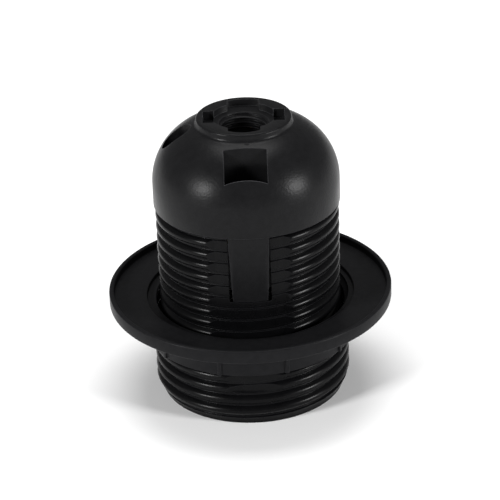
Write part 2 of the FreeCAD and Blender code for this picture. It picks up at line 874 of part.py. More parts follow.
def build_screw_shell():
    """Rolled metal shell that takes the lamp's screw cap, hung from its top flange."""
    made = body("screw_shell")
    outer = SHELL_MINOR + S.shell_metal
    top = S.ledge_level
    flare = S.shell_level + S.shell_flare
    wall = outline(
        sketch(made, "shell_wall", "XZ_Plane"),
        (SHELL_MINOR + S.shell_flare, S.shell_level),
        (outer + S.shell_flare, S.shell_level),
        (outer, flare),
        (outer, top),
        (SHELL_HOLE, top),
        (SHELL_HOLE, top - S.shell_metal),
        (SHELL_MINOR, top - S.shell_metal),
        (SHELL_MINOR, flare),
    )
    turned(made, "shell_turned", wall)
    roll_shell_thread(made, flare, top)
    holes = sketch(made, "shell_rivet_section", "XY_Plane", top)
    for x, y in rivet_places()[1:]:
        circle_outline(holes, S.rivet_radius + S.rivet_gap, x, y)
    cut(made, "shell_rivet_holes", holes, S.shell_metal)
    return made


def roll_shell_thread(made, low, top):
    """Rolls the lamp thread: each turn stands out of the wall and is hollow inside."""
    ridges = sketch(made, "shell_ridges_section", "XZ_Plane")
    hollows = sketch(made, "shell_hollows_section", "XZ_Plane")
    middle = SHELL_MINOR + S.shell_metal / 2
    half_crest = S.shell_pitch * SHELL_CREST_SHARE / 2
    half_foot = half_crest + S.shell_thread_depth
    bury = S.shell_metal / 2
    first = low + half_foot
    for row in range(rows_between(first, top - half_foot, S.shell_pitch)):
        level = first + S.shell_pitch * row
        outline(
            ridges,
            (middle, level - half_foot),
            (S.shell_major_radius + S.shell_metal, level - half_crest),
            (S.shell_major_radius + S.shell_metal, level + half_crest),
            (middle, level + half_foot),
        )
        outline(
            hollows,
            (SHELL_MINOR - bury, level - half_foot + S.shell_metal - bury),
            (S.shell_major_radius, level - half_crest + bury),
            (S.shell_major_radius, level + half_crest - bury),
            (SHELL_MINOR - bury, level + half_foot - S.shell_metal + bury),
        )
    turned(made, "shell_ridges", ridges)
    turned(made, "shell_hollows", hollows, "Groove")


def build_centre_contact():
    """Sprung leaf that presses on the lamp's tip, resting on its rivet's lower head."""
    made = body("centre_contact")
    upper = S.ledge_level - S.leaf_gap
    under = upper - S.leaf_metal
    start = -(LEAF_RIVET + S.leaf_root)
    bend = start + S.leaf_flat
    dip = bend + S.leaf_reach
    tip = dip + S.leaf_tip_reach
    drawn = outline(
        sketch(made, "leaf_section", "XZ_Plane"),
        (start, under),
        (bend, under),
        (dip, under - S.leaf_drop),
        (tip, under - S.leaf_drop + S.leaf_tip_rise),
        (tip, upper - S.leaf_drop + S.leaf_tip_rise),
        (dip, upper - S.leaf_drop),
        (bend, upper),
        (start, upper),
    )
    raised(made, "leaf", drawn, S.leaf_width, both=True)
    hole = circle_outline(
        sketch(made, "leaf_hole_section", "XY_Plane", under),
        S.rivet_radius + S.leaf_hole_gap, -LEAF_RIVET,
    )
    cut(made, "leaf_hole", hole, S.leaf_metal, backwards=True)
    return made


# ---------------------------------------------------------------- finish
def fault_of(made):
    """What is wrong with an object of the document, or nothing."""
    if any(word in ("Invalid", "Error") for word in made.State):
        return "%s is %s" % (made.Name, made.State)
    return ""


def write_parts(nodes):
    """Checks every object and shape, then writes each node's STEP file."""
    DOC.recompute()
    faults = [fault_of(made) for made in DOC.Objects if fault_of(made)]
    for node in nodes:
        if node.Shape.isNull() or not node.Shape.isValid():
            faults.append("%s has no valid shape" % node.Label)
    if faults:
        raise RuntimeError("; ".join(faults))
    os.makedirs("parts", exist_ok=True)
    for node in nodes:
        node.Shape.exportStep(os.path.join("parts", node.Label + ".step"))
        print("%-24s %10.2f mm3 %3d solid" % (
            node.Label, node.Shape.Volume, len(node.Shape.Solids)
        ))


def build_all():
    """Builds every piece of the holder."""
    centre_rivet, neutral_rivet, plain_rivet = rivet_places()
    carrier_top = S.ledge_level + S.carrier_thickness
    foot_top = carrier_top + S.terminal_foot
    leaf_seat = S.ledge_level - S.leaf_gap - S.leaf_metal
    flange_under = S.ledge_level - S.shell_metal
    return [
        build_skirt(),
        build_cap(),
        build_shade_ring(),
        build_contact_carrier(),
        build_screw_shell(),
        build_centre_contact(),
        build_terminal(
            "live_terminal", -1, LEAF_RIVET - S.foot_edge, S.terminal_width / 2,
            centre_rivet,
        ),
        build_terminal(
            "neutral_terminal", 1, SHELL_RIVET_X - S.foot_edge,
            SHELL_RIVET_Y + S.foot_edge, neutral_rivet,
        ),
        build_clamp_screw("live_clamp_screw", -1),
        build_clamp_screw("neutral_clamp_screw", 1),
        build_rivet("centre_contact_rivet", centre_rivet, leaf_seat, foot_top),
        build_rivet("neutral_rivet", neutral_rivet, flange_under, foot_top),
        build_rivet("shell_rivet", plain_rivet, flange_under, carrier_top),
    ]


write_parts(build_all())
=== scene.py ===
"""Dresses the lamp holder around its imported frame: moulded plastic, true threads and metal.

Everything is in metres in the frame's own axes: +Z up, the front tongue towards -Y.
"""
import logging
import math
from collections.abc import Iterator
from contextlib import contextmanager
from dataclasses import dataclass, field
from enum import Enum

import bpy
from mathutils import Matrix, Vector


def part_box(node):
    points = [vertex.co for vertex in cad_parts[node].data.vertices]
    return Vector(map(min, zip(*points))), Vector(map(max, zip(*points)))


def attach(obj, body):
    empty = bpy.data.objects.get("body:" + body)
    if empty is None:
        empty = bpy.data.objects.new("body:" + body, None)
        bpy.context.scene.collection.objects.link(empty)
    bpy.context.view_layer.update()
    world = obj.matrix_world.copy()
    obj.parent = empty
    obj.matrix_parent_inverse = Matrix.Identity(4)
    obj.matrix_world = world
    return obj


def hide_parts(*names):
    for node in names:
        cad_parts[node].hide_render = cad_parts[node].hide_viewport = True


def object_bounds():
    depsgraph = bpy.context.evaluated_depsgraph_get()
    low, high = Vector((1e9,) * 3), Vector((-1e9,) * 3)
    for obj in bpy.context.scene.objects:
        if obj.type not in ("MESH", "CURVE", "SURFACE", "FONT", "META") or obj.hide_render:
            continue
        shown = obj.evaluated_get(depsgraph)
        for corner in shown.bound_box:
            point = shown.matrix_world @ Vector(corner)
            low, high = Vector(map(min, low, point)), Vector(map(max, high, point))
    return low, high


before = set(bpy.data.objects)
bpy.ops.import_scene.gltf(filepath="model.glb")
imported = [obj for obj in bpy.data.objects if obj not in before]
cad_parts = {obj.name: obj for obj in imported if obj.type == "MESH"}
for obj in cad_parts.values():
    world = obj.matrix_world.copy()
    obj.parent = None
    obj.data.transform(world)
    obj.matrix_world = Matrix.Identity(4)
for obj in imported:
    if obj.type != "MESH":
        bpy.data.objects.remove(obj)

CAD_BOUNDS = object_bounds()
LOG = logging.getLogger("lamp_holder")

MM = 0.001
FULL_TURN = 2 * math.pi
QUARTER_TURN = math.pi / 2

# Points nearer than this are one point, and solids that are joined overlap by as much.
WELD = 1e-6
# How far from a cutting plane a point still counts as lying on it.
CUT_WITHIN = 1e-7
# How far a cutter reaches past the face that it opens.
PAST = 1.0 * MM
# Steps of a turned solid's full turn and of a rounded corner.
ROUND_STEPS = 192
CORNER_STEPS = 4
EDGE_SEGMENTS = 2
# Edges flatter than this are shaded smooth, and sharper ones are rounded.
SMOOTH_BELOW = math.radians(32)
# Faces that meet within this angle are one face.
FLAT_WITHIN = math.radians(0.2)

# Shape of a thread's crest: shares of its half width, and the share of the round left over.
CREST_BEND = 0.62
CREST_FLAT = 0.24
CREST_BEND_DROP = 0.25

# Noise seldom leaves this range.
NOISE_LOW = 0.3
NOISE_HIGH = 0.7

Point = tuple[float, float]
Colour = tuple[float, float, float]
Stretch = tuple[float, float, float]


class Join(Enum):
    """How two closed solids are combined."""

    ADD = "UNION"
    CUT = "DIFFERENCE"
    KEEP_COMMON = "INTERSECT"


class Body(Enum):
    """The moving bodies of the frame."""

    HOLDER = "holder"
    CAP = "cap"
    SHADE_RING = "shade_ring"


class Slot(Enum):
    """The record's material slots."""

    CAP = "cap_plastic"
    SKIRT = "skirt_plastic"
    RING = "ring_plastic"
    CARRIER = "carrier_plastic"
    SHELL = "shell_metal"
    CONTACT = "contact_metal"
    TERMINAL = "terminal_brass"
    SCREW = "screw_steel"
    RIVET = "rivet_metal"


# ------------------------------------------------------------------ modelling by hand
def deselect_all() -> None:
    """Leaves nothing selected, in object mode."""
    if bpy.context.object is not None and bpy.context.object.mode != "OBJECT":
        bpy.ops.object.mode_set(mode="OBJECT")
    bpy.ops.object.select_all(action="DESELECT")


def pick(piece: bpy.types.Object) -> None:
    """Makes a piece the only selected and the active object.

    Args:
        piece: The object to pick.
    """
    deselect_all()
    piece.select_set(True)
    bpy.context.view_layer.objects.active = piece


@contextmanager
def editing(piece: bpy.types.Object) -> Iterator[None]:
    """Opens a piece in edit mode with all of it selected, and closes it again.

    Args:
        piece: The object to edit.
    """
    pick(piece)
    bpy.ops.object.mode_set(mode="EDIT")
    bpy.ops.mesh.select_all(action="SELECT")
    yield
    bpy.ops.object.mode_set(mode="OBJECT")


def settle(piece: bpy.types.Object) -> bpy.types.Object:
    """Puts a piece's place into its mesh.

    Args:
        piece: The object to settle.

    Returns:
        The same object, at the origin, unturned and unscaled.
    """
    pick(piece)
    bpy.ops.object.transform_apply(location=True, rotation=True, scale=True)
    return piece


def apply_modifier(piece: bpy.types.Object, modifier: bpy.types.Modifier) -> None:
    """Applies one modifier of a piece."""
    pick(piece)
    bpy.ops.object.modifier_apply(modifier=modifier.name)


def walked(name: str, points: list[Point]) -> bpy.types.Object:
    """Draws a wire in the XZ half plane by extruding one vertex from point to point.

    Args:
        name: The new object's name.
        points: Radius and level of each point, in order.

    Returns:
        The wire's object.
    """
    deselect_all()
    radius, level = points[0]
    bpy.ops.mesh.primitive_plane_add(size=MM, location=(radius, 0, level))
    piece = bpy.context.object
    piece.name = name
    with editing(piece):
        bpy.ops.mesh.merge(type="CENTER")
        for (r0, z0), (r1, z1) in zip(points, points[1:]):
            bpy.ops.mesh.extrude_vertices_move(
                TRANSFORM_OT_translate={"value": (r1 - r0, 0, z1 - z0)}
            )
    return settle(piece)


def turned(name: str, section: list[Point]) -> bpy.types.Object:
    """Turns a closed section about the holder's axis.

    Args:
        name: The new object's name.
        section: Corners of the section, without repeating the first.

    Returns:
        A closed solid; corners on the axis become poles.
    """
    piece = walked(name, section + section[:1])
    with editing(piece):
        bpy.ops.mesh.remove_doubles(threshold=WELD)
        bpy.ops.mesh.select_all(action="SELECT")
        bpy.ops.mesh.spin(
            steps=ROUND_STEPS, angle=FULL_TURN, center=(0, 0, 0), axis=(0, 0, 1),
            use_auto_merge=True,
        )
        bpy.ops.mesh.select_all(action="SELECT")
        bpy.ops.mesh.remove_doubles(threshold=WELD)
        bpy.ops.mesh.dissolve_degenerate(threshold=CUT_WITHIN)
        bpy.ops.mesh.select_all(action="SELECT")
        bpy.ops.mesh.normals_make_consistent(inside=False)
    return piece


def disc(name: str, radius: float, low: float, high: float) -> bpy.types.Object:
    """Turns a plain solid disc between two levels."""
    return turned(name, [(0, low), (radius, low), (radius, high), (0, high)])


def block(name: str, low: Vector, high: Vector) -> bpy.types.Object:
    """Adds a rectangular block between two corners.

    Args:
        name: The new object's name.
        low: The lowest corner.
        high: The highest corner.

    Returns:
        The settled block.
    """
    deselect_all()
    bpy.ops.mesh.primitive_cube_add(size=1, location=(low + high) / 2)
    piece = bpy.context.object
    piece.name = name
    piece.scale = high - low
    return settle(piece)


def combine(piece: bpy.types.Object, other: bpy.types.Object, how: Join) -> bpy.types.Object:
    """Combines a closed solid with another, which is used up.

    Args:
        piece: The solid that is changed.
        other: The solid that it is combined with.
        how: Whether to add, cut away or keep what both share.

    Returns:
        The changed solid.
    """
    modifier = piece.modifiers.new(other.name, "BOOLEAN")
    modifier.operation = how.value
    modifier.solver = "MANIFOLD"
    modifier.object = other
    apply_modifier(piece, modifier)
    bpy.data.objects.remove(other, do_unlink=True)
    return piece


def soften(piece: bpy.types.Object, width: float) -> None:
    """Rounds the sharp edges of a piece.

    Args:
        piece: The piece to soften.
        width: How wide the rounded edge is.
    """
    modifier = piece.modifiers.new("soft_edges", "BEVEL")
    modifier.width = width
    modifier.segments = EDGE_SEGMENTS
    modifier.limit_method = "ANGLE"
    modifier.angle_limit = SMOOTH_BELOW
    modifier.use_clamp_overlap = True
    apply_modifier(piece, modifier)


def smooth(piece: bpy.types.Object) -> None:
    """Shades a piece smooth, apart from its sharp edges."""
    pick(piece)
    bpy.ops.object.shade_smooth_by_angle(angle=SMOOTH_BELOW)


def welded_copy(node: str, name: str) -> bpy.types.Object:
    """Copies a node of the frame as a welded mesh of whole faces.

    Args:
        node: The node's name.
        name: The copy's name.

    Returns:
        The copy, ready to be shaped.
    """
    piece = bpy.data.objects.new(name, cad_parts[node].data.copy())
    bpy.context.collection.objects.link(piece)
    with editing(piece):
        bpy.ops.mesh.remove_doubles(threshold=WELD)
        bpy.ops.mesh.select_all(action="SELECT")
        bpy.ops.mesh.dissolve_limited(angle_limit=FLAT_WITHIN)
    return piece


# ------------------------------------------------------------------ outlines
@dataclass(frozen=True)
class Corner:
    """A corner of a turned section, with its rounding.

    Attributes:
        radius: Distance from the axis.
        level: Height above the lip.
        rounding: Radius of the round that takes the corner off, or 0.
    """

    radius: float
    level: float
    rounding: float = 0.0


def rounded(corners: list[Corner]) -> list[Point]:
    """Replaces each rounded corner of a closed section by its arc.

    Args:
        corners: The section's corners in order.

    Returns:
        The section's points.
    """
    points: list[Point] = []
    for place, corner in enumerate(corners):
        here = Vector((corner.radius, corner.level))
        if not corner.rounding:
            points.append((here.x, here.y))
            continue
        before, after = corners[place - 1], corners[(place + 1) % len(corners)]
        back = (Vector((before.radius, before.level)) - here).normalized()
        ahead = (Vector((after.radius, after.level)) - here).normalized()
        half = back.angle(ahead) / 2
        middle = here + (back + ahead).normalized() * corner.rounding / math.sin(half)
        reach = corner.rounding / math.tan(half)
        start = here + back * reach - middle
        end = here + ahead * reach - middle
        sweep = start.angle_signed(end)
        for step in range(CORNER_STEPS + 1):
            spoke = start @ Matrix.Rotation(sweep * step / CORNER_STEPS, 2)
            points.append(tuple(middle + spoke))
    return points


@dataclass(frozen=True)
class Thread:
    """A right-hand screw thread about the holder's axis.

    Attributes:
        crest: Radius over the crests.
        root: Radius in the roots.
        pitch: Rise of one turn.
        crest_width: Width of the crest's flat, rounding included.
        root_width: Width of the root's flat.
        crest_round: How far the crest's corners are taken down.
        front_crest: Level of a crest at the front.
        steps: Steps of one turn.
    """

    crest: float
    root: float
    pitch: float
    crest_width: float
    root_width: float
    crest_round: float
    front_crest: float
    steps: int = 144

    def tooth(self, start: float) -> list[Point]:
        """Draws one pitch of the thread from the middle of a root.

        Args:
            start: Level of the root's middle.

        Returns:
            Radius and level of each point, up to the next root's middle.
        """
        middle = start + self.pitch / 2
        half = self.crest_width / 2
        shoulder = self.crest - self.crest_round
        rise = half + self.crest_round / 2
        foot = self.root_width / 2
        lower = [
            (self.root, start),
            (self.root, start + foot),
            (shoulder, middle - rise),
            (self.crest - self.crest_round * CREST_BEND_DROP, middle - half * CREST_BEND),
            (self.crest, middle - half * CREST_FLAT),
        ]
        upper = [(r, 2 * middle - z) for r, z in reversed(lower)]
        return lower + upper

    def rod(self, name: str, low: float, high: float) -> bpy.types.Object:
        """Makes a solid threaded rod between two levels.

        Args:
            name: The new object's name.
            low: Level of its lower end.
            high: Level of its upper end.

        Returns:
            The closed rod.
        """
        side_crest = self.front_crest + self.pitch / 4
        turns_below = math.ceil((side_crest - low) / self.pitch) + 2
        start = side_crest - self.pitch * (turns_below + 0.5)
        turns = math.ceil((high - start) / self.pitch) + 1
        piece = walked(name, self.tooth(start))
        screw = piece.modifiers.new("turns", "SCREW")
        screw.axis = "Z"
        screw.angle = FULL_TURN
        screw.screw_offset = self.pitch
        screw.iterations = turns
        screw.steps = self.steps
        screw.render_steps = self.steps
        screw.use_merge_vertices = True
        screw.merge_threshold = WELD
        apply_modifier(piece, screw)
        with editing(piece):
            bpy.ops.mesh.remove_doubles(threshold=WELD)
            for level, below in ((low, True), (high, False)):
                bpy.ops.mesh.select_all(action="SELECT")
                bpy.ops.mesh.bisect(
                    plane_co=(0, 0, level), plane_no=(0, 0, 1), use_fill=True,
                    clear_inner=below, clear_outer=not below, threshold=CUT_WITHIN,
                )
            bpy.ops.mesh.select_all(action="SELECT")
            bpy.ops.mesh.normals_make_consistent(inside=False)
        return piece


# ------------------------------------------------------------------ finishes
class Nodes:
    """Adds and links shader nodes of one material."""

    def __init__(self, name: str) -> None:
        """Starts an empty node tree with a Principled shader."""
        self.material = bpy.data.materials.new(name)
        self.material.use_nodes = True
        self.tree = self.material.node_tree
        self.shader = self.tree.nodes["Principled BSDF"]
        self.place = self.add("ShaderNodeTexCoord").outputs["Object"]

    def add(self, kind: str, **settings: object) -> bpy.types.Node:
        """Adds a node.

        Args:
            kind: The node's type.
            **settings: Its properties.

        Returns:
            The new node.
        """
        node = self.tree.nodes.new(kind)
        for key, value in settings.items():
            setattr(node, key, value)
        return node

    def link(self, source: bpy.types.NodeSocket, target: bpy.types.NodeSocket) -> None:
        """Links an output to an input."""
        self.tree.links.new(source, target)

    def noise(
        self, size: float, detail: float, stretch: Stretch | None = None
    ) -> bpy.types.NodeSocket:
        """Adds solid noise of a feature size.

        Args:
            size: The size of a feature.
            detail: How many finer layers it has.
            stretch: How much the pattern is squeezed along each axis.

        Returns:
            The noise's value.
        """
        source = self.place
        if stretch is not None:
            mapping = self.add("ShaderNodeMapping")
            mapping.inputs["Scale"].default_value = stretch
            self.link(source, mapping.inputs["Vector"])
            source = mapping.outputs["Vector"]
        node = self.add("ShaderNodeTexNoise")
        node.inputs["Scale"].default_value = 1 / size
        node.inputs["Detail"].default_value = detail
        self.link(source, node.inputs["Vector"])
        return node.outputs["Fac"]

    def between(
        self, value: bpy.types.NodeSocket, low: float, high: float
    ) -> bpy.types.NodeSocket:
        """Spreads a noise value over a range.

        Args:
            value: The noise.
            low: The result where the noise is weak.
            high: The result where it is strong.

        Returns:
            The spread value.
        """
        node = self.add("ShaderNodeMapRange")
        node.inputs["From Min"].default_value = NOISE_LOW
        node.inputs["From Max"].default_value = NOISE_HIGH
        node.inputs["To Min"].default_value = low
        node.inputs["To Max"].default_value = high
        self.link(value, node.inputs["Value"])
        return node.outputs["Result"]

    def mix(
        self, factor: bpy.types.NodeSocket, first: Colour, second: Colour
    ) -> bpy.types.NodeSocket:
        """Mixes two colours by a factor and returns the mixed colour."""
        node = self.add("ShaderNodeMix", data_type="RGBA")
        node.inputs["A"].default_value = (*first, 1)
        node.inputs["B"].default_value = (*second, 1)
        self.link(factor, node.inputs["Factor"])
        return node.outputs["Result"]

    def bump(
        self, height: bpy.types.NodeSocket, depth: float, normal: bpy.types.NodeSocket | None
    ) -> bpy.types.NodeSocket:
        """Turns a height into a bumped normal.

        Args:
            height: The height from 0 to 1.
            depth: The depth that 1 stands for.
            normal: The normal that the bump is laid on, if not the plain one.

        Returns:
            The bumped normal.
        """
        node = self.add("ShaderNodeBump")
        node.inputs["Distance"].default_value = depth
        self.link(height, node.inputs["Height"])
        if normal is not None:
            self.link(normal, node.inputs["Normal"])
        return node.outputs["Normal"]


@dataclass(frozen=True)
class MouldedPlastic:
    """A dark moulded plastic with a spark-eroded grain and sharp edges painted lighter, a
    painted highlight.

    Attributes:
        name: The material's name.
        colour: Its base colour.
        roughness: The middle of its roughness.
        unevenness: How far the roughness strays either way.
        grain_size: Size of the moulded grain.
        grain_depth: Depth of the moulded grain.
        edge_radius: Radius of the round that the eye sees on sharp edges.
        painted_highlight_gain: How much lighter the sharp edges are painted, a painted
            highlight.
        specular: Strength of the mirror-like share.
        edge_samples: Samples that find an edge.
        edge_start: How well the rounded and plain normals agree where an edge begins to show.
        edge_full: How well they agree where it shows in full.
        flow_size: Size of the patches in which the roughness strays.
        flow_stretch: Squeeze of those patches along each axis.
        cloud_size: Size of the darker and lighter clouds.
        cloud_depth: How far the clouds stray from the colour.
    """

    name: str
    colour: Colour
    roughness: float
    unevenness: float
    grain_size: float
    grain_depth: float
    edge_radius: float = 0.14 * MM
    painted_highlight_gain: float = 2.2
    specular: float = 0.10
    edge_samples: int = 6
    edge_start: float = 0.998
    edge_full: float = 0.86
    flow_size: float = 6 * MM
    flow_stretch: Stretch = (1, 1, 0.35)
    cloud_size: float = 1.3 * MM
    cloud_depth: float = 0.14

    def make(self) -> bpy.types.Material:
        """Builds the material and returns it."""
        nodes = Nodes(self.name)
        grain = nodes.noise(self.grain_size, 3.0)
        flow = nodes.noise(self.flow_size, 4.0, self.flow_stretch)
        cloud = nodes.noise(self.cloud_size, 5.0)
        bevel = nodes.add("ShaderNodeBevel", samples=self.edge_samples)
        bevel.inputs["Radius"].default_value = self.edge_radius
        plain = nodes.add("ShaderNodeNewGeometry").outputs["Normal"]
        facing = nodes.add("ShaderNodeVectorMath", operation="DOT_PRODUCT")
        nodes.link(bevel.outputs["Normal"], facing.inputs[0])
        nodes.link(plain, facing.inputs[1])
        edge = nodes.add("ShaderNodeMapRange")
        edge.inputs["From Min"].default_value = self.edge_start
        edge.inputs["From Max"].default_value = self.edge_full
        nodes.link(facing.outputs["Value"], edge.inputs["Value"])
        darker = tuple(c * (1 - self.cloud_depth) for c in self.colour)
        lighter = tuple(c * (1 + self.cloud_depth) for c in self.colour)
        # Sharp edges take a lighter colour: a painted highlight.
        painted_highlight_colour = tuple(c * self.painted_highlight_gain for c in self.colour)
        body = nodes.mix(nodes.between(cloud, 0.0, 1.0), darker, lighter)
        colour = nodes.add("ShaderNodeMix", data_type="RGBA")
        nodes.link(edge.outputs["Result"], colour.inputs["Factor"])
        nodes.link(body, colour.inputs["A"])
        colour.inputs["B"].default_value = (*painted_highlight_colour, 1)
        nodes.link(colour.outputs["Result"], nodes.shader.inputs["Base Color"])
        nodes.link(
            nodes.between(
                flow, self.roughness - self.unevenness, self.roughness + self.unevenness
            ),
            nodes.shader.inputs["Roughness"],
        )
        nodes.shader.inputs["Specular IOR Level"].default_value = self.specular
        normal = nodes.bump(grain, self.grain_depth, bevel.outputs["Normal"])
        nodes.link(normal, nodes.shader.inputs["Normal"])
        return nodes.material


@dataclass(frozen=True)
class Metal:
    """A bright metal with fine tool marks and a slight tarnish.

    Attributes:
        name: The material's name.
        colour: Its colour.
        tarnish: Its colour where it has dulled.
        roughness: The middle of its roughness.
        marks: Squeeze of the tool marks along each axis.
        mark_size: Size of the tool marks before they are squeezed.
        mark_depth: Depth of the tool marks.
        patch_size: Size of the tarnished patches.
        patch_share: How much of the tarnish shows where it is strongest.
        smoothest: Share of the roughness in the smoothest marks.
        roughest: Share of the roughness in the roughest marks.
    """

    name: str
    colour: Colour
    tarnish: Colour
    roughness: float
    marks: Stretch
    mark_size: float = 0.35 * MM
    mark_depth: float = 0.004 * MM
    patch_size: float = 2.2 * MM
    patch_share: float = 0.8
    smoothest: float = 0.7
    roughest: float = 1.35

    def make(self) -> bpy.types.Material:
        """Builds the material and returns it."""
        nodes = Nodes(self.name)
        scratches = nodes.noise(self.mark_size, 4.0, self.marks)
        patches = nodes.noise(self.patch_size, 5.0)
        dulled = nodes.between(patches, 0.0, self.patch_share)
        colour = nodes.mix(dulled, self.colour, self.tarnish)
        nodes.link(colour, nodes.shader.inputs["Base Color"])
        nodes.shader.inputs["Metallic"].default_value = 1.0
        nodes.link(
            nodes.between(
                scratches, self.roughness * self.smoothest, self.roughness * self.roughest
            ),
            nodes.shader.inputs["Roughness"],
        )
        normal = nodes.bump(scratches, self.mark_depth, None)
        nodes.link(normal, nodes.shader.inputs["Normal"])
        return nodes.material


@dataclass
class Finishes:
    """Every finish of the holder, by material slot."""

    made: dict[Slot, bpy.types.Material] = field(default_factory=dict)

    def make_all(self) -> None:
        """Builds the plastics and the metals."""
        turned_marks = (0.5, 0.5, 9.0)
        rolled_marks = (1.0, 1.0, 5.0)
        # Each plastic's sharp edges are painted lighter by its gain below, a painted highlight.
        finishes = {
            Slot.CAP: MouldedPlastic(
                "matte_dome_plastic", (0.0068, 0.0068, 0.0073), roughness=0.33, unevenness=0.05,
                grain_size=0.45 * MM, grain_depth=0.030 * MM, painted_highlight_gain=7.0, specular=0.085,
            ),
            Slot.SKIRT: MouldedPlastic(
                "semi_gloss_skirt_plastic", (0.0024, 0.0024, 0.0027), roughness=0.27,
                unevenness=0.06, grain_size=0.5 * MM, grain_depth=0.006 * MM, painted_highlight_gain=6.0,
                specular=0.09,
            ),
            Slot.RING: MouldedPlastic(
                "satin_ring_plastic", (0.0085, 0.0085, 0.0092), roughness=0.36, unevenness=0.05,
                grain_size=0.40 * MM, grain_depth=0.012 * MM, painted_highlight_gain=3.0, specular=0.05,
            ),
            Slot.CARRIER: MouldedPlastic(
                "matte_carrier_plastic", (0.05, 0.05, 0.052), roughness=0.5, unevenness=0.06,
                grain_size=0.3 * MM, grain_depth=0.02 * MM,
            ),
            Slot.SHELL: Metal(
                "nickelled_shell", (0.78, 0.77, 0.74), tarnish=(0.60, 0.58, 0.53),
                roughness=0.24, marks=rolled_marks,
            ),
            Slot.CONTACT: Metal(
                "spring_bronze", (0.80, 0.62, 0.32), tarnish=(0.60, 0.43, 0.22),
                roughness=0.26, marks=rolled_marks,
            ),
            Slot.TERMINAL: Metal(
                "machined_brass", (0.78, 0.63, 0.33), tarnish=(0.58, 0.44, 0.22),
                roughness=0.28, marks=turned_marks,
            ),
            Slot.SCREW: Metal(
                "zinced_steel", (0.66, 0.66, 0.65), tarnish=(0.50, 0.50, 0.47),
                roughness=0.30, marks=turned_marks,
            ),
            Slot.RIVET: Metal(
                "formed_brass", (0.76, 0.60, 0.31), tarnish=(0.56, 0.42, 0.21),
                roughness=0.30, marks=turned_marks,
            ),
        }
        self.made = {slot: finish.make() for slot, finish in finishes.items()}

    def dress(self, piece: bpy.types.Object, slot: Slot) -> None:
        """Gives a piece or a node the finish of a slot."""
        piece.data.materials.clear()
        piece.data.materials.append(self.made[slot])


def deliver(
    piece: bpy.types.Object, body: Body, node: str, slot: Slot, finishes: Finishes
) -> None:
    """Dresses a finished piece and puts it in place of a node.

    Args:
        piece: The finished piece.
        body: The body that it rides on.
        node: The node that it stands for.
        slot: The material slot of its finish.
        finishes: Where the finish comes from.
    """
    smooth(piece)
    finishes.dress(piece, slot)
    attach(piece, body.value)
    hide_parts(node)
    LOG.info("%s stands for %s: %d faces", piece.name, node, len(piece.data.polygons))


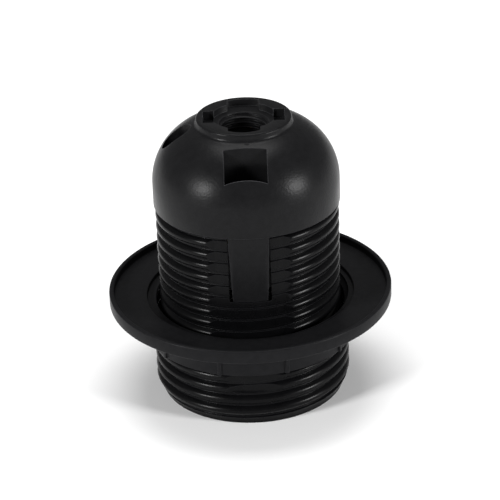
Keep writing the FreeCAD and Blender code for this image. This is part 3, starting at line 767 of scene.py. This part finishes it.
# ------------------------------------------------------------------ sub-assemblies
@dataclass
class Skirt:
    """The moulded skirt: the shade thread on its wide foot, a like thread on its body above."""

    lip_radius: float = 18.7 * MM
    lip_height: float = 0.4 * MM
    lip_round: float = 0.3 * MM
    lead_in_height: float = 2.6 * MM
    crest_width: float = 1.0 * MM
    root_width: float = 0.4 * MM
    thread_depth: float = 0.95 * MM
    thread_top: float = 11.3 * MM
    seat_radius: float = 19.5 * MM
    body_radius: float = 18.4 * MM
    body_depth: float = 0.9 * MM
    body_start: float = 2.0 * MM
    pitch: float = 2.5 * MM
    crest_round: float = 0.2 * MM
    mouth_radius: float = 16.9 * MM
    mouth_depth: float = 6.0 * MM
    mouth_taper: float = 3.0 * MM
    bore_radius: float = 15.0 * MM
    carrier_bore_radius: float = 15.9 * MM
    slot_width: float = 8.3 * MM
    slot_floor: float = 27.0 * MM
    body_relief_width: float = 16.6 * MM
    body_relief_depth: float = 0.65 * MM
    ring_relief_width: float = 11.4 * MM
    ring_relief_depth: float = 0.75 * MM
    ring_relief_floor: float = 7.6 * MM
    start_round: float = 0.5 * MM
    shoulder_round: float = 0.22 * MM
    mouth_round: float = 0.3 * MM
    throat_round: float = 0.6 * MM
    slot_round: float = 0.3 * MM

    def make(self, finishes: Finishes) -> None:
        """Models the skirt and puts it in place of its node.

        Args:
            finishes: Where its finish comes from.
        """
        low, high = (Vector(corner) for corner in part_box("skirt"))
        ring_thread = high.x
        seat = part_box("shade_ring")[0][2]
        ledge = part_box("contact_carrier")[0][2]
        piece = self.lower_thread(ring_thread, low.z)
        combine(piece, self.lip(low.z), Join.ADD)
        combine(
            piece, disc("seat", self.seat_radius, self.thread_top - WELD, seat), Join.ADD
        )
        combine(piece, self.upper_thread(seat, high.z), Join.ADD)
        self.relieve(
            piece, self.body_relief_width, self.body_radius,
            self.body_radius - self.body_relief_depth, seat, high.z,
        )
        self.relieve(
            piece, self.ring_relief_width, ring_thread, ring_thread - self.ring_relief_depth,
            self.ring_relief_floor, seat,
        )
        combine(piece, self.bore(low.z, ledge, high.z), Join.CUT)
        combine(piece, self.slots(ring_thread, high.z), Join.CUT)
        piece.name = "skirt_moulding"
        deliver(piece, Body.HOLDER, "skirt", Slot.SKIRT, finishes)

    def lower_thread(self, crest: float, foot: float) -> bpy.types.Object:
        """Makes the shade thread with its tapered start and returns it."""
        start = foot + self.lip_height
        thread = Thread(
            crest, crest - self.thread_depth, self.pitch, self.crest_width, self.root_width,
            self.crest_round, self.thread_top - self.pitch - self.crest_width / 2,
        )
        piece = thread.rod("shade_thread", start - WELD, self.thread_top)
        envelope = rounded([
            Corner(0, start - PAST),
            Corner(self.lip_radius, start - PAST),
            Corner(self.lip_radius, start),
            Corner(crest, start + self.lead_in_height, self.start_round),
            Corner(crest, self.thread_top, self.shoulder_round),
            Corner(0, self.thread_top),
        ])
        return combine(piece, turned("thread_envelope", envelope), Join.KEEP_COMMON)

    def lip(self, foot: float) -> bpy.types.Object:
        """Makes the plain lip that the holder stands on and returns it."""
        top = foot + self.lip_height
        return turned("lip", rounded([
            Corner(0, foot),
            Corner(self.lip_radius, foot, self.lip_round),
            Corner(self.lip_radius, top),
            Corner(0, top),
        ]))

    def upper_thread(self, seat: float, top: float) -> bpy.types.Object:
        """Makes the body thread, with a plain neck above the ring's seat, and returns it."""
        thread = Thread(
            self.body_radius, self.body_radius - self.body_depth, self.pitch, self.crest_width,
            self.root_width, self.crest_round, seat + self.body_start,
        )
        start = seat + self.body_start
        piece = thread.rod("body_thread", start, top)
        neck = disc("body_neck", self.body_radius, seat - WELD, start + WELD)
        return combine(piece, neck, Join.ADD)

    def relieve(
        self, piece: bpy.types.Object, width: float, crest: float, radius: float, floor: float,
        top: float,
    ) -> None:
        """Takes the crests down to a radius over a width of the front and the back.

        Args:
            piece: The skirt so far.
            width: Width of the relief at the crests.
            crest: Radius over the crests, where the relief runs out.
            radius: Radius that is left in its middle.
            floor: Its lower level.
            top: Its upper level.
        """
        reach = crest + self.pitch
        side = width / 2
        near = math.sqrt(crest ** 2 - side ** 2)
        for front, back in ((-reach, -near), (near, reach)):
            cutter = block(
                "relief", Vector((-side - PAST, front, floor)),
                Vector((side + PAST, back, top + WELD)),
            )
            kept = disc("relief_core", radius, floor - PAST, top + PAST)
            combine(cutter, kept, Join.CUT)
            combine(piece, cutter, Join.CUT)

    def bore(self, foot: float, ledge: float, top: float) -> bpy.types.Object:
        """Makes the solid of the stepped bore, and returns it."""
        throat = foot + self.mouth_depth
        return turned("bore", rounded([
            Corner(0, foot - PAST),
            Corner(self.mouth_radius + PAST, foot - PAST),
            Corner(self.mouth_radius, foot, self.mouth_round),
            Corner(self.mouth_radius, throat, self.throat_round),
            Corner(self.bore_radius, throat + self.mouth_taper, self.throat_round),
            Corner(self.bore_radius, ledge),
            Corner(self.carrier_bore_radius, ledge),
            Corner(self.carrier_bore_radius, top + PAST),
            Corner(0, top + PAST),
        ]))

    def slots(self, reach: float, top: float) -> bpy.types.Object:
        """Makes the solid of the two slots for the tongues, and returns it."""
        side = self.slot_width / 2
        cutter = block(
            "slots", Vector((-side, -reach, self.slot_floor)),
            Vector((side, reach, top + PAST)),
        )
        soften(cutter, self.slot_round)
        return cutter


@dataclass
class Cap:
    """The moulded cap with its threaded entry."""

    edge_width: float = 0.16 * MM
    entry_minor: float = 4.44 * MM
    entry_major: float = 4.98 * MM
    entry_pitch: float = 1.0 * MM
    entry_crest_width: float = 0.28 * MM
    entry_root_width: float = 0.2 * MM
    entry_crest_round: float = 0.05 * MM
    entry_steps: int = 96
    entry_depth: float = 8.6 * MM
    recess_depth: float = 1.4 * MM

    def make(self, finishes: Finishes) -> None:
        """Models the cap and puts it in place of its node.

        Args:
            finishes: Where its finish comes from.
        """
        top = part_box("cap")[1][2]
        piece = welded_copy("cap", "cap_moulding")
        soften(piece, self.edge_width)
        floor = top - self.recess_depth
        thread = Thread(
            self.entry_major, self.entry_minor, self.entry_pitch, self.entry_crest_width,
            self.entry_root_width, self.entry_crest_round, floor, self.entry_steps,
        )
        cutter = thread.rod("entry_thread", floor - self.entry_depth - PAST, floor + WELD)
        combine(piece, cutter, Join.CUT)
        deliver(piece, Body.CAP, "cap", Slot.CAP, finishes)


@dataclass
class ShadeRing:
    """The loose ring that clamps a shade: a ribbed collar under a rimmed plate."""

    bore_gap: float = 0.2 * MM
    thread_depth: float = 0.95 * MM
    pitch: float = 2.5 * MM
    rim_width: float = 1.0 * MM
    rim_height: float = 1.55 * MM
    plate_thickness: float = 1.15 * MM
    collar_radius: float = 21.5 * MM
    step_width: float = 0.9 * MM
    step_depth: float = 0.8 * MM
    rib_width: float = 0.8 * MM
    rib_depth: float = 0.35 * MM
    rib_round: float = 0.12 * MM
    rib_number: int = 10
    rim_round: float = 0.3 * MM
    corner_round: float = 0.25 * MM
    step_round: float = 0.2 * MM
    bore_round: float = 0.15 * MM
    crest_width: float = 0.55 * MM
    root_width: float = 0.45 * MM
    crest_round: float = 0.08 * MM
    bore_overlap: float = 0.01 * MM

    def make(self, finishes: Finishes) -> None:
        """Models the ring and puts it in place of its node.

        Args:
            finishes: Where its finish comes from.
        """
        low, high = (Vector(corner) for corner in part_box("shade_ring"))
        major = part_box("skirt")[1][0] + self.bore_gap
        bore = major - self.thread_depth
        rim_inside = high.x - self.rim_width
        plate_top = high.z - self.rim_height
        plate_under = plate_top - self.plate_thickness
        step = major + self.step_width
        step_floor = plate_top - self.step_depth
        piece = turned("shade_ring_moulding", rounded([
            Corner(bore, low.z, self.bore_round),
            Corner(self.collar_radius, low.z, self.corner_round),
            Corner(self.collar_radius, plate_under, self.rim_round),
            Corner(high.x, plate_under, self.rim_round),
            Corner(high.x, high.z, self.rim_round),
            Corner(rim_inside, high.z, self.rim_round),
            Corner(rim_inside, plate_top, self.corner_round),
            Corner(step, plate_top, self.step_round),
            Corner(step, step_floor, self.bore_round),
            Corner(bore, step_floor, self.bore_round),
        ]))
        self.add_ribs(piece, low.z, plate_under)
        thread = Thread(
            major, bore - self.bore_overlap, self.pitch, self.crest_width, self.root_width,
            self.crest_round, low.z + self.pitch / 2,
        )
        combine(piece, thread.rod("ring_bore", low.z - PAST, plate_top + PAST), Join.CUT)
        deliver(piece, Body.SHADE_RING, "shade_ring", Slot.RING, finishes)

    def add_ribs(self, piece: bpy.types.Object, foot: float, under: float) -> None:
        """Adds the upright ribs of the collar.

        Args:
            piece: The turned ring.
            foot: Level of the ribs' feet.
            under: Level of the plate above them.
        """
        reach = Vector((self.rib_depth, self.rib_width / 2, 0))
        for number in range(self.rib_number):
            low = Vector((self.collar_radius, 0, foot))
            high = Vector((self.collar_radius, 0, under + WELD))
            rib = block("rib", low - reach, high + reach)
            soften(rib, self.rib_round)
            rib.rotation_euler.z = FULL_TURN * number / self.rib_number
            combine(piece, settle(rib), Join.ADD)


@dataclass
class ScrewShell:
    """The rolled metal shell that takes the lamp's screw cap."""

    minor: float = 12.25 * MM
    major: float = 13.3 * MM
    metal: float = 0.4 * MM
    pitch: float = 3.63 * MM
    flare: float = 0.9 * MM
    crest_width: float = 1.5 * MM
    root_width: float = 0.9 * MM
    crest_round: float = 0.45 * MM
    hole_radius: float = 8.3 * MM
    rivet_hole_radius: float = 1.05 * MM

    def make(self, finishes: Finishes) -> None:
        """Models the shell and puts it in place of its node.

        Args:
            finishes: Where its finish comes from.
        """
        low, high = (Vector(corner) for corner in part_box("screw_shell"))
        piece = self.rolled("screw_shell_rolled", self.metal, low.z, high.z)
        inside = self.rolled("shell_inside", 0.0, low.z - WELD, high.z - self.metal)
        combine(piece, inside, Join.CUT)
        combine(piece, disc("shell_hole", self.hole_radius, low.z, high.z + PAST), Join.CUT)
        for rivet in ("neutral_rivet", "shell_rivet"):
            foot, head = (Vector(corner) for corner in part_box(rivet))
            middle = (foot + head) / 2
            hole = disc("rivet_hole", self.rivet_hole_radius, low.z, high.z + PAST)
            hole.location = (middle.x, middle.y, 0)
            combine(piece, settle(hole), Join.CUT)
        deliver(piece, Body.HOLDER, "screw_shell", Slot.SHELL, finishes)

    def rolled(self, name: str, outward: float, foot: float, top: float) -> bpy.types.Object:
        """Makes the solid inside one face of the rolled wall.

        Args:
            name: The new object's name.
            outward: How far the face lies outside the inner one.
            foot: Its lower level.
            top: Its upper level.

        Returns:
            The threaded solid with its flared foot.
        """
        thread = Thread(
            self.major + outward, self.minor + outward, self.pitch, self.crest_width,
            self.root_width, self.crest_round, foot + self.pitch,
        )
        piece = thread.rod(name, foot, top)
        flare = turned(name + "_flare", [
            (0, foot), (self.minor + outward + self.flare, foot),
            (self.minor + outward - WELD, foot + self.flare), (0, foot + self.flare),
        ])
        return combine(piece, flare, Join.ADD)


@dataclass
class InnerPieces:
    """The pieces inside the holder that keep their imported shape."""

    slots: dict[str, Slot] = field(default_factory=lambda: {
        "contact_carrier": Slot.CARRIER,
        "centre_contact": Slot.CONTACT,
        "live_terminal": Slot.TERMINAL,
        "neutral_terminal": Slot.TERMINAL,
        "live_clamp_screw": Slot.SCREW,
        "neutral_clamp_screw": Slot.SCREW,
        "centre_contact_rivet": Slot.RIVET,
        "neutral_rivet": Slot.RIVET,
        "shell_rivet": Slot.RIVET,
    })

    def make(self, finishes: Finishes) -> None:
        """Gives each inner node its finish.

        Args:
            finishes: Where the finishes come from.
        """
        for node, slot in self.slots.items():
            finishes.dress(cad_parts[node], slot)
            LOG.info("%s dressed as %s", node, slot.value)


# ------------------------------------------------------------------ studio
@dataclass(frozen=True)
class Softbox:
    """A soft rectangular light that faces the holder.

    Attributes:
        name: The light's name.
        place: Where it hangs.
        width: Its width.
        height: Its height.
        power: Its power in watts.
    """

    name: str
    place: tuple[float, float, float]
    width: float
    height: float
    power: float

    def hang(self, target: Vector) -> None:
        """Adds the light, turned towards a point."""
        light = bpy.data.lights.new(self.name, "AREA")
        light.shape = "RECTANGLE"
        light.size = self.width
        light.size_y = self.height
        light.energy = self.power
        lamp = bpy.data.objects.new(self.name, light)
        bpy.context.collection.objects.link(lamp)
        lamp.location = self.place
        lamp.rotation_euler = (target - Vector(self.place)).to_track_quat("-Z", "Y").to_euler()


@dataclass
class Studio:
    """The pale floor, the soft lights and the camera."""

    target: Vector = field(default_factory=lambda: Vector((0, 0, 30 * MM)))
    distance: float = 0.45
    elevation: float = math.radians(27.0)
    roll: float = math.radians(-2.25)
    lens: float = 160.5
    shift: Point = (0.0026, -0.0045)
    sensor_width: float = 36
    nearest: float = 0.01
    floor_size: float = 6.0
    floor_colour: Colour = (0.96, 0.96, 0.96)
    floor_roughness: float = 0.9
    floor_specular: float = 0.1
    room_strength: float = 0.22
    softboxes: tuple[Softbox, ...] = (
        Softbox("left_softbox", (-0.76, -0.50, 0.35), width=0.20, height=0.26, power=9.0),
        Softbox("right_softbox", (0.84, -0.40, 0.28), width=0.20, height=0.26, power=9.0),
        Softbox("top_softbox", (0.0, 0.25, 1.10), width=0.80, height=0.60, power=8.5),
    )

    def make(self) -> None:
        """Sets up the studio."""
        self.place_camera()
        self.lay_floor()
        self.light_room()
        for softbox in self.softboxes:
            softbox.hang(self.target)

    def place_camera(self) -> None:
        """Adds the camera in front of the holder, looking down at it."""
        camera = bpy.data.objects.new("camera", bpy.data.cameras.new("camera"))
        bpy.context.collection.objects.link(camera)
        away = Vector((0, -math.cos(self.elevation), math.sin(self.elevation)))
        turn = Matrix.Rotation(QUARTER_TURN - self.elevation, 4, "X")
        turn = turn @ Matrix.Rotation(self.roll, 4, "Z")
        camera.matrix_world = Matrix.Translation(self.target + away * self.distance) @ turn
        camera.data.lens = self.lens
        camera.data.sensor_width = self.sensor_width
        camera.data.shift_x, camera.data.shift_y = self.shift
        camera.data.clip_start = self.nearest
        bpy.context.scene.camera = camera

    def lay_floor(self) -> None:
        """Adds a plain white floor under the lip."""
        deselect_all()
        level = CAD_BOUNDS[0][2]
        bpy.ops.mesh.primitive_plane_add(size=self.floor_size, location=(0, 0, level))
        floor = bpy.context.object
        floor.name = "floor"
        settle(floor)
        material = bpy.data.materials.new("white_floor")
        material.use_nodes = True
        shader = material.node_tree.nodes["Principled BSDF"]
        shader.inputs["Base Color"].default_value = (*self.floor_colour, 1)
        shader.inputs["Roughness"].default_value = self.floor_roughness
        shader.inputs["Specular IOR Level"].default_value = self.floor_specular
        floor.data.materials.append(material)

    def light_room(self) -> None:
        """Fills the room with an even pale light."""
        world = bpy.data.worlds.new("room")
        world.use_nodes = True
        background = world.node_tree.nodes["Background"]
        background.inputs["Color"].default_value = (1, 1, 1, 1)
        background.inputs["Strength"].default_value = self.room_strength
        bpy.context.scene.world = world
        bpy.context.scene.view_settings.view_transform = "Standard"


def main() -> None:
    """Builds the studio and every sub-assembly in order."""
    logging.basicConfig(level=logging.INFO, format="%(name)s: %(message)s")
    finishes = Finishes()
    finishes.make_all()
    Studio().make()
    for part in (Skirt(), Cap(), ShadeRing(), ScrewShell(), InnerPieces()):
        part.make(finishes)


if __name__ == "__main__":
    main()
